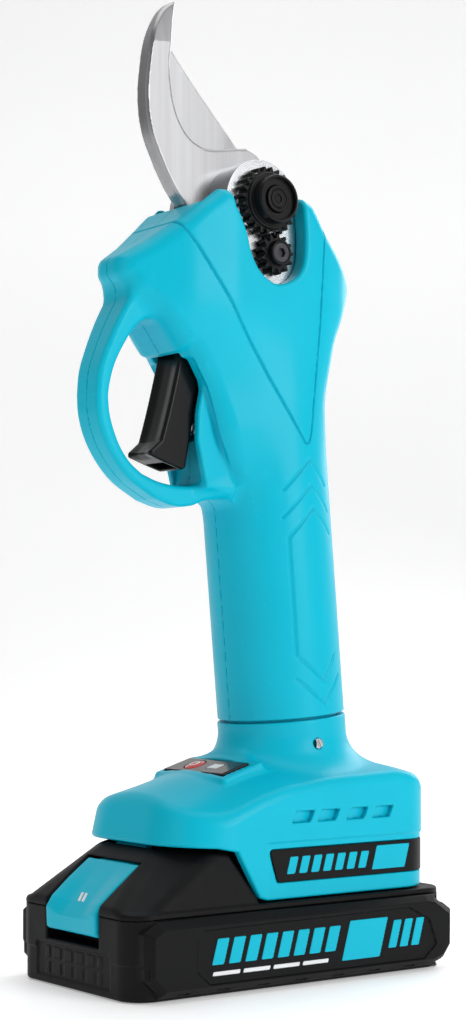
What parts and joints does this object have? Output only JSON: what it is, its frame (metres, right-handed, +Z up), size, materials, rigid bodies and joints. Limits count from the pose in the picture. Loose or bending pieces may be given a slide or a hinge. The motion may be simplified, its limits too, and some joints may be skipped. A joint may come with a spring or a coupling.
{
  "type": "battery pruner",
  "caption": "Handheld battery pruner: curved bypass blades over a grip with finger guard and trigger, on a flared foot that holds a slide-on pack.",
  "frame": {"origin": "centre of the pack's underside, the face the tool stands on", "axes": "+Z up towards the blades, -X towards the trigger and the pack's latch, -Y towards the tool's left side with the lock nut"},
  "size_m": [0.1174, 0.07, 0.291],
  "materials": {
    "blade_steel": "ground and polished steel",
    "cast_frame": "fine cast aluminium, machined boss",
    "dark_steel": "black-oxide hardened steel",
    "bright_steel": "bright machined steel",
    "bronze": "sintered bronze",
    "teal_plastic": "satin-gloss moulded plastic",
    "black_plastic": "fine-grained moulded plastic",
    "pack_plastic": "satin moulded plastic",
    "red_plastic": "translucent red button",
    "lens": "clear light pipe",
    "board": "solder-mask green",
    "board_parts": "moulded components",
    "wire": "silicone insulation",
    "cell_wrap": "shrink wrap",
    "contact": "plated copper",
    "nickel": "nickel strip",
    "screw": "blackened steel",
    "motor_steel": "phosphated steel"
  },
  "bodies": {
    "tool": {"pivot_bolt": "dark_steel", "pivot_washers": "bright_steel", "lock_gear_screw": "screw", "head_frame": "cast_frame", "gear_cover": "cast_frame", "frame_screws": "screw", "fixed_blade": "blade_steel", "bearing_outer_ring": "bright_steel", "bearing_balls": "bright_steel", "gearbox_front": "motor_steel", "ring_gear": "motor_steel", "motor_plate": "motor_steel", "motor_can": "motor_steel", "motor_stator": "motor_steel", "motor_bearings": "bright_steel", "motor_end_cap": "motor_steel", "control_board": "board", "board_parts": "board_parts", "wiring": "wire", "housing_left": "teal_plastic", "housing_right": "teal_plastic", "housing_screws": "screw", "trigger_pin": "bright_steel", "trigger_spring": "bright_steel", "trigger_switch": "black_plastic", "foot_shell": "teal_plastic", "foot_band": "black_plastic", "collar_screws": "screw", "rail_plate": "black_plastic", "foot_screws": "screw", "terminal_block": "black_plastic", "tool_terminals": "contact", "control_panel": "black_plastic", "indicator_lens": "lens", "panel_board": "board"},
    "cutting_blade": {"moving_blade": "blade_steel", "sector_gear": "dark_steel", "sector_screws": "screw", "pivot_bush": "bronze"},
    "output_shaft": {"bevel_pinion": "dark_steel", "bearing_inner_ring": "bright_steel", "planet_carrier": "bright_steel"},
    "planet_one": {"planet_gear_1": "bright_steel"},
    "planet_two": {"planet_gear_2": "bright_steel"},
    "planet_three": {"planet_gear_3": "bright_steel"},
    "rotor": {"motor_rotor": "bright_steel", "sun_gear": "bronze"},
    "trigger_lever": {"trigger": "black_plastic"},
    "start_button": {"power_button": "red_plastic"},
    "nut": {"lock_nut": "dark_steel"},
    "nut_lock": {"lock_gear": "dark_steel"},
    "pack": {"battery_tub": "pack_plastic", "battery_cover": "pack_plastic", "battery_cells": "cell_wrap", "cell_straps": "nickel", "battery_board": "board", "battery_terminals": "contact", "battery_screws": "screw", "latch_spring": "bright_steel"},
    "pack_latch": {"battery_latch": "teal_plastic"}
  },
  "joints": [
    {"name": "blade_swing", "type": "hinge", "parent": "tool", "child": "cutting_blade", "pos_m": [0.0054, 0, 0.2315], "axis": [0, 1, 0], "range_deg": [0, 38]},
    {"name": "output_spin", "type": "hinge", "parent": "tool", "child": "output_shaft", "pos_m": [0.0054, 0, 0.2315], "axis": [-0.1132, 0, 0.9936], "range_deg": [-2, 119]},
    {"name": "rotor_spin", "type": "hinge", "parent": "tool", "child": "rotor", "pos_m": [0.0054, 0, 0.2315], "axis": [-0.1132, 0, 0.9936], "range_deg": [-5, 475]},
    {"name": "planet_one_spin", "type": "hinge", "parent": "output_shaft", "child": "planet_one", "pos_m": [0.01926, 0, 0.18276], "axis": [-0.1132, 0, 0.9936], "range_deg": [-355, 5]},
    {"name": "planet_two_spin", "type": "hinge", "parent": "output_shaft", "child": "planet_two", "pos_m": [0.00696, 0.00715, 0.18135], "axis": [-0.1132, 0, 0.9936], "range_deg": [-355, 5]},
    {"name": "planet_three_spin", "type": "hinge", "parent": "output_shaft", "child": "planet_three", "pos_m": [0.00696, -0.00715, 0.18135], "axis": [-0.1132, 0, 0.9936], "range_deg": [-355, 5]},
    {"name": "trigger_pull", "type": "hinge", "parent": "tool", "child": "trigger_lever", "pos_m": [-0.0156, 0, 0.186], "axis": [0, -1, 0], "range_deg": [0, 8], "stiffness_Nm_per_rad": 0.9, "springref_deg": -6.88, "deforming": ["trigger_spring"]},
    {"name": "button_press", "type": "slide", "parent": "tool", "child": "start_button", "axis": [0.2924, 0, -0.9563], "range_m": [0, 0.0008], "stiffness_N_per_m": 900, "springref_m": -0.0006},
    {"name": "nut_turn", "type": "hinge", "parent": "tool", "child": "nut", "pos_m": [0.0054, 0, 0.2315], "axis": [0, 1, 0], "range_deg": [-30, 30]},
    {"name": "nut_lock_turn", "type": "hinge", "parent": "tool", "child": "nut_lock", "pos_m": [0.00836, 0, 0.21625], "axis": [0, 1, 0], "range_deg": [-57, 57]},
    {"name": "pack_slide", "type": "slide", "parent": "tool", "child": "pack", "axis": [-1, 0, 0], "range_m": [0, 0.09]},
    {"name": "latch_press", "type": "slide", "parent": "pack", "child": "pack_latch", "axis": [0, 0, -1], "range_m": [0, 0.0026], "stiffness_N_per_m": 1200, "springref_m": -0.0016, "deforming": ["latch_spring"]}
  ],
  "couplings": [
    {"joint": "output_spin", "follows": "blade_swing", "ratio": 3.0769},
    {"joint": "rotor_spin", "follows": "blade_swing", "ratio": 12.308},
    {"joint": "planet_one_spin", "follows": "blade_swing", "ratio": -9.2308},
    {"joint": "planet_two_spin", "follows": "blade_swing", "ratio": -9.2308},
    {"joint": "planet_three_spin", "follows": "blade_swing", "ratio": -9.2308},
    {"joint": "nut_lock_turn", "follows": "nut_turn", "ratio": -1.8462}
  ]
}
